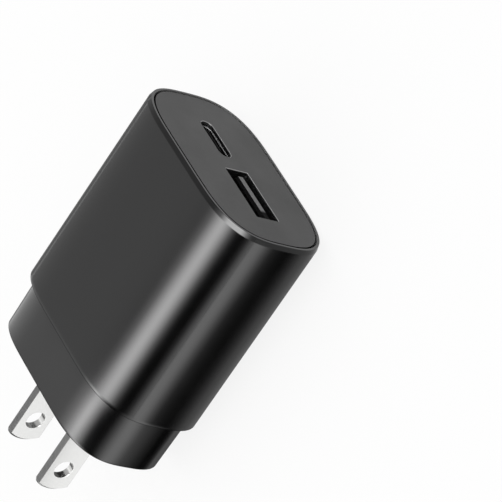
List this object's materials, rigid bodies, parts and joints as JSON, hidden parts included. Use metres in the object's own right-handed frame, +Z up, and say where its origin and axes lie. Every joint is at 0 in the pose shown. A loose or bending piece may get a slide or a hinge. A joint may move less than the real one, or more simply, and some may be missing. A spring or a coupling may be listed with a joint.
{
  "type": "usb wall charger",
  "caption": "Black plug-in wall charger with a squarish oval body, fixed flat blades, a stepped plug end, a wide port and a slim port.",
  "frame": {"origin": "middle of the flat face of the plug end, which meets the wall, between the two blades", "axes": "+Y along the blades into the wall, X across the two blades, +Z up with the charger lying on a broad side; the ports face -Y"},
  "size_m": [0.0412, 0.0665, 0.0232],
  "materials": {
    "housing_black": "black moulded plastic, satin gloss",
    "plate_black": "black moulded plastic, fine matte texture",
    "blade_nickel": "nickel-plated brass, satin polish",
    "insulator_white": "white glass-filled nylon",
    "spring_copper": "phosphor bronze strip",
    "board_green": "green solder mask on glass-epoxy board",
    "fibre_sheet": "dark insulating fibre sheet",
    "can_black": "aluminium can in a black shrink sleeve",
    "can_silver": "bare satin aluminium",
    "ferrite": "dull dark ferrite",
    "chip_black": "black moulding compound",
    "epoxy_blue": "dipped blue epoxy",
    "tape_yellow": "copper winding under yellow polyester tape",
    "shell_steel": "black-plated steel sheet",
    "tongue_black": "black moulded insulator",
    "contact_gold": "gold-plated copper alloy"
  },
  "bodies": {
    "charger": {"body_sleeve": "housing_black", "plug_cap": "housing_black", "port_plate": "plate_black", "prong_left": "blade_nickel", "prong_right": "blade_nickel", "prong_carrier": "insulator_white", "blade_spring_left": "spring_copper", "blade_spring_right": "spring_copper", "main_board": "board_green", "port_board": "board_green", "insulation_sheet": "fibre_sheet", "bulk_capacitor_1": "can_black", "bulk_capacitor_2": "can_black", "output_capacitor_1": "can_silver", "output_capacitor_2": "can_silver", "input_choke": "ferrite", "fuse": "chip_black", "safety_capacitor": "epoxy_blue", "heat_sink": "can_silver", "sync_rectifier": "chip_black", "optocoupler": "chip_black", "power_switch": "chip_black", "bridge_rectifier": "chip_black", "charge_controller": "chip_black", "transformer_core_lower": "ferrite", "transformer_core_upper": "ferrite", "transformer_bobbin": "insulator_white", "transformer_winding": "tape_yellow", "usb_a_shell": "shell_steel", "usb_a_insulator": "tongue_black", "usb_c_shell": "shell_steel", "usb_c_insulator": "tongue_black", "usb_c_contact_1": "contact_gold", "usb_c_contact_2": "contact_gold", "usb_c_contact_3": "contact_gold", "usb_c_contact_4": "contact_gold", "usb_c_contact_5": "contact_gold", "usb_c_contact_6": "contact_gold"},
    "contact_1": {"usb_a_contact_1": "contact_gold"},
    "contact_2": {"usb_a_contact_2": "contact_gold"},
    "contact_3": {"usb_a_contact_3": "contact_gold"},
    "contact_4": {"usb_a_contact_4": "contact_gold"}
  },
  "joints": [
    {"name": "contact_1_flex", "type": "hinge", "parent": "charger", "child": "contact_1", "pos_m": [-0.0103, -0.04185, -0.00049], "axis": [1, 0, 0], "range_deg": [0, 4], "stiffness_Nm_per_rad": 0.045},
    {"name": "contact_2_flex", "type": "hinge", "parent": "charger", "child": "contact_2", "pos_m": [-0.0078, -0.04185, -0.00049], "axis": [1, 0, 0], "range_deg": [0, 4], "stiffness_Nm_per_rad": 0.045},
    {"name": "contact_3_flex", "type": "hinge", "parent": "charger", "child": "contact_3", "pos_m": [-0.0058, -0.04185, -0.00049], "axis": [1, 0, 0], "range_deg": [0, 4], "stiffness_Nm_per_rad": 0.045},
    {"name": "contact_4_flex", "type": "hinge", "parent": "charger", "child": "contact_4", "pos_m": [-0.0033, -0.04185, -0.00049], "axis": [1, 0, 0], "range_deg": [0, 4], "stiffness_Nm_per_rad": 0.045}
  ]
}
